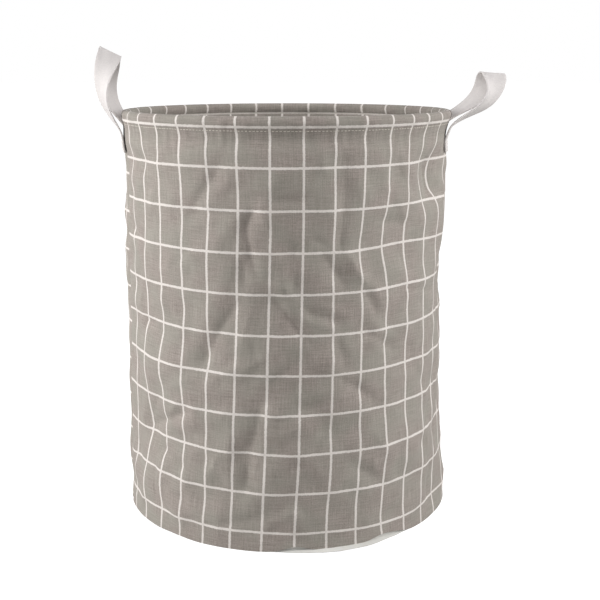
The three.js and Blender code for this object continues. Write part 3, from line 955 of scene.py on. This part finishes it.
def loop_row(share, across_steps, stands):
    """One row of the webbing across the loop, leaned out about its fold line."""
    away = Vector((1, 0, 0))
    before, after = max(0.0005, share - 0.004), min(0.9995, share + 0.004)
    along = (loop_place(after, stands) - loop_place(before, stands)).normalized()
    arch_out = away.cross(along).normalized()
    turned = math.sin(math.pi * share) ** stands["tilt_power"]
    turn = (math.pi / 2 - END_TURN) * (1 - turned) - math.radians(stands["tilt"]) * turned
    across = away * math.cos(turn) - arch_out * math.sin(turn)
    across = (across - along * across.dot(along)).normalized()
    leaned = Matrix.Rotation(math.radians(stands["lean"]), 3, "Y")
    hinge = Vector((stands["out"] * math.cos(END_TURN), 0, stands["fold"]))
    place = loop_place(share, stands)
    return [hinge + leaned @ (place + across * (step * STRAP_WIDTH)) for step in across_steps]


# %% The sewn ends, which follow the wall and then leave it to clear the hem
def end_place(across, height, side, stands, lift=0.0):
    """A point of a sewn end, and the way off the wall. Side is -1 or 1, for smaller or greater Y."""
    seat = float(wall_radius(height) + stands["gives"] * beside_handle(height)) + SEAT_GAP + WEBBING / 2
    leave = float(ease(height, LEAVES_WALL, FOLD_HEIGHT))
    out = stands["out"] + (stands["stray"] if side < 0 else 0)
    radius = seat + (out - seat) * leave
    bearing = side * (END_TURN + side * across / radius)
    off = Vector((math.cos(bearing), math.sin(bearing), 0))
    return off * (radius + lift) + Vector((0, 0, height)), off


def end_row(height, across_steps, side, stands):
    return [end_place(step * STRAP_WIDTH, height, side, stands)[0] for step in across_steps]


# %% Carry the webbing along its path
ACROSS_CELLS, END_ROWS, LOOP_ROWS = 8, 14, 84


def strap_rows(stands):
    steps = [cell / ACROSS_CELLS - 0.5 for cell in range(ACROSS_CELLS + 1)]
    heights = [END_BOTTOM + (stands["fold"] - END_BOTTOM) * row / END_ROWS for row in range(END_ROWS)]
    rows = [end_row(height, steps, -1, stands) for height in heights]
    rows += [loop_row(row / LOOP_ROWS, steps, stands) for row in range(LOOP_ROWS + 1)]
    rows += [end_row(height, [-step for step in steps], 1, stands) for height in reversed(heights)]
    return np.array([[list(point) for point in row] for row in rows])


def ease_folds(rows, passes=8):
    """Averages the rows near each fold with their neighbours along the webbing."""
    for _ in range(passes):
        softer = rows.copy()
        softer[1:-1] = (rows[:-2] + 2 * rows[1:-1] + rows[2:]) / 4
        row_numbers = np.arange(len(rows))
        near = np.minimum(abs(row_numbers - END_ROWS), abs(row_numbers - (len(rows) - 1 - END_ROWS)))
        share = np.clip(1 - (near - 3) / 5, 0, 1)[:, None, None]
        rows = rows * (1 - share) + softer * share
    return rows


def strap_length(rows):
    middle = rows[:, ACROSS_CELLS // 2]
    return np.concatenate(([0], np.cumsum(np.linalg.norm(np.diff(middle, axis=0), axis=1))))


# %% Make one handle
def make_handle(name, stands, half_turn):
    rows = ease_folds(strap_rows(stands))
    if half_turn:
        rows = rows * (-1, -1, 1)
    lengths = strap_length(rows)
    webbing, across, along = flat_cloth(name, ACROSS_CELLS, len(rows) - 1)
    column = np.rint(across * ACROSS_CELLS).astype(int)
    row = np.rint(along * (len(rows) - 1)).astype(int)
    lay_cloth(webbing, rows[row, column], (across - 0.5) * STRAP_WIDTH, lengths[row])
    apply_modifier(webbing, "SOLIDIFY", thickness=WEBBING, offset=0, use_even_offset=True)
    apply_modifier(
        webbing, "BEVEL", width=SELVEDGE, segments=2, limit_method="ANGLE", angle_limit=math.radians(50)
    )
    face_outwards(webbing)
    smooth(webbing, 40)
    dress(webbing, COTTON_WEBBING)
    print(webbing.name, "is cut %.0f mm long" % (lengths[-1] * 1000))
    return webbing, lengths[-1]


right_handle, right_length = make_handle("right_handle_webbing", RIGHT_SET, False)
left_handle, left_length = make_handle("left_handle_webbing", LEFT_SET, True)

# %% [markdown]
# ## Stitches
#
# One line of cream stitches goes through the wall just under the roll, and shows on both sides
# of the cloth. The sewn strap ends have a box of stitches. One stitch is modelled once, as a
# slightly flattened bead of thread, and a copy of it is set down at each place, turned to follow
# the seam.

# %% Model one stitch and set it down along a seam
FLATTENED = 0.7


def set_stitches(name, places, length=0.0026, thickness=0.0006):
    """Sews a line: each place is a point, the direction of the seam and the way off the cloth."""
    deselect_all()
    bpy.ops.mesh.primitive_uv_sphere_add(segments=6, ring_count=5, radius=1)
    stitch = bpy.context.object
    edit(stitch)
    size = (thickness / 2, thickness / 2 * FLATTENED, length / 2)
    bpy.ops.transform.resize(value=size, center_override=(0, 0, 0))
    leave_edit()
    thread = points_of(stitch)
    faces = [list(face.vertices) for face in stitch.data.polygons]
    points, all_faces = [], []
    for point, along, off in places:
        along, off = Vector(along).normalized(), Vector(off).normalized()
        side = off.cross(along)
        turned = np.array([list(side), list(off), list(along)])
        all_faces += [[corner + len(points) for corner in face] for face in faces]
        points += (thread @ turned + np.array(list(point))).tolist()
    bpy.data.objects.remove(stitch)
    mesh = bpy.data.meshes.new(name)
    mesh.from_pydata(points, [], all_faces)
    sewn = bpy.data.objects.new(name, mesh)
    bpy.context.scene.collection.objects.link(sewn)
    face_outwards(sewn)
    smooth(sewn)
    dress(sewn, SEWING_THREAD)
    return sewn


# %% Sew the hem, outside and inside
STITCH_PITCH = 0.0036


def ring_places(radius, height, inwards):
    count = round(2 * math.pi * radius / STITCH_PITCH)
    places = []
    for number in range(count):
        turn = 2 * math.pi * number / count
        off = Vector((math.sin(turn), -math.cos(turn), 0)) * (-1 if inwards else 1)
        along = Vector((math.cos(turn), math.sin(turn), 0))
        pulled = radius + float(gathered(turn, HEM_BOTTOM))
        places.append((Vector((math.sin(turn) * pulled, -math.cos(turn) * pulled, height)), along, off))
    return places


outside = ring_places(HEM_SEAM_RADIUS + 0.0001, HEM_BOTTOM - 0.0002, False)
inside = ring_places(HEM_SEAM_RADIUS - FACING_INSET - 0.0001, HEM_BOTTOM, True)
hem_stitches = set_stitches("hem_stitches", outside)
facing_stitches = set_stitches("facing_stitches", inside)


# %% Sew a box on each strap end
BOX_ROW, BOX_SIDES = 0.019, (-0.0108, 0.0108)
BOX_LEVELS, BOX_UPRIGHTS = (0.3900, 0.3985), (0.3920, 0.3950, 0.3975)


def box_places(stands, mirrored):
    face = WEBBING / 2 + 0.00005
    places = []
    for side in (-1, 1):
        spots = [((number / 6 - 0.5) * BOX_ROW, height, 0) for height in BOX_LEVELS for number in range(7)]
        spots += [(across, height, 1) for across in BOX_SIDES for height in BOX_UPRIGHTS]
        for across, height, upright in spots:
            point, off = end_place(across, height, side, stands, face)
            along = Vector((0, 0, 1)) if upright else Vector((-off.y, off.x, 0))
            if mirrored:
                point, off = Vector((-point.x, -point.y, point.z)), -off
            places.append((point, along, off))
    return places


right_stitches = set_stitches("right_strap_stitches", box_places(RIGHT_SET, False), 0.0024, 0.0005)
left_stitches = set_stitches("left_strap_stitches", box_places(LEFT_SET, True), 0.0024, 0.0005)

# %% [markdown]
# ## Finish on the hoop
#
# The wire hoop and its crimped sleeve lie hidden in the hem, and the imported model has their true
# shape, so those two stay as they are and only get their metal.

# %% Give the hoop and its sleeve their metal
for node in ("rim_hoop", "hoop_ferrule"):
    dress(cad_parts[node], SPRING_STEEL)

# %% [markdown]
# ## How the pieces move
#
# The rim is pushed down to fold the hamper flat. The hem and its stitches are attached to the rim,
# and the panels, lining, seam tapes, base and binding to the basket, each in place of the imported
# piece that is hidden. The handles are left where they are, with the imported straps hidden.


def squash_with_rim(piece, *nodes):
    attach(piece, "basket")
    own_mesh(piece)
    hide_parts(*nodes)


squash_with_rim(front_panel, "front_wall_panel")
squash_with_rim(back_panel, "back_wall_panel")
squash_with_rim(lining, "wall_lining")
squash_with_rim(left_tape, "left_seam_tape")
squash_with_rim(right_tape, "right_seam_tape")

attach(base, "basket")
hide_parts("base_panel")
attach(binding, "basket")
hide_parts("base_seam_tape")
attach(hem, "rim")
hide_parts("rim_hem")
for sewn in (hem_stitches, facing_stitches, right_stitches, left_stitches):
    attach(sewn, "rim")

# %% Fix the handles in place and hide the imported straps
for handle, side, name in ((right_handle, 1, "right"), (left_handle, -1, "left")):
    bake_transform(handle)
    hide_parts(f"{name}_handle_strap", f"{name}_front_strap_end", f"{name}_rear_strap_end")

# %% [markdown]
# ## Floor and light
#
# The photograph has a pure white ground and soft light from both sides, stronger on the left,
# which leaves the middle of the front darkest. Two large soft lamps stand left and right, a weak
# one hangs high in front, and the sky adds a plain low level. The floor is grey and only looks
# white to the camera, so that it doesn't throw extra light up onto the cloth.

# %% Lay the floor
def seen_directly(tree):
    """1 where the camera sees something itself or in a reflection, and 0 where it only gives light."""
    rays = add(tree, "LightPath").outputs
    return add(tree, "Math", [rays["Is Camera Ray"], rays["Is Glossy Ray"]], operation="MAXIMUM")


def make_floor_finish():
    finish, tree = new_finish("white studio floor")
    plain = add(tree, "BsdfDiffuse", ["#b4b4b2"])
    white = add(tree, "BsdfDiffuse", ["#b0b0b0"])
    glow = add(tree, "Emission", {"Color": (1, 1, 1, 1), "Strength": 0.9})
    lit = add(tree, "AddShader", [white, glow])
    add(tree, "OutputMaterial", [add(tree, "MixShader", [seen_directly(tree), plain, lit])])
    return finish


deselect_all()
bpy.ops.mesh.primitive_plane_add(size=30, location=(0, 8, -0.0002))
floor = bpy.context.object
floor.name = floor.data.name = "studio_floor"
floor.data.materials.append(make_floor_finish())

# %% Light it
def soft_lamp(name, place, aim, width, height, power):
    data = bpy.data.lights.new(name, "AREA")
    data.shape = "RECTANGLE"
    data.size, data.size_y, data.energy = width, height, power
    lamp = bpy.data.objects.new(name, data)
    bpy.context.scene.collection.objects.link(lamp)
    lamp.location = place
    lamp.rotation_euler = (Vector(aim) - Vector(place)).to_track_quat("-Z", "Y").to_euler()


soft_lamp("left_softbox", (-1.81, -0.36, 0.75), (0, 0, 0.27), 0.8, 1.1, 35)
soft_lamp("right_softbox", (1.79, -0.40, 0.95), (0, 0, 0.30), 0.8, 1.1, 28)
soft_lamp("high_softbox", (0, -1.3, 1.75), (0, 0, 0.25), 1.2, 1.0, 10)

world = bpy.data.worlds.new("white studio")
world.use_nodes = True
bpy.context.scene.world = world
sky = world.node_tree
sky.nodes.clear()
strength = add(sky, "MapRange", [seen_directly(sky), 0, 1, 0.36, 1])
add(sky, "OutputWorld", [add(sky, "Background", [(1, 1, 1, 1), strength])])
bpy.context.scene.view_settings.view_transform = "Standard"
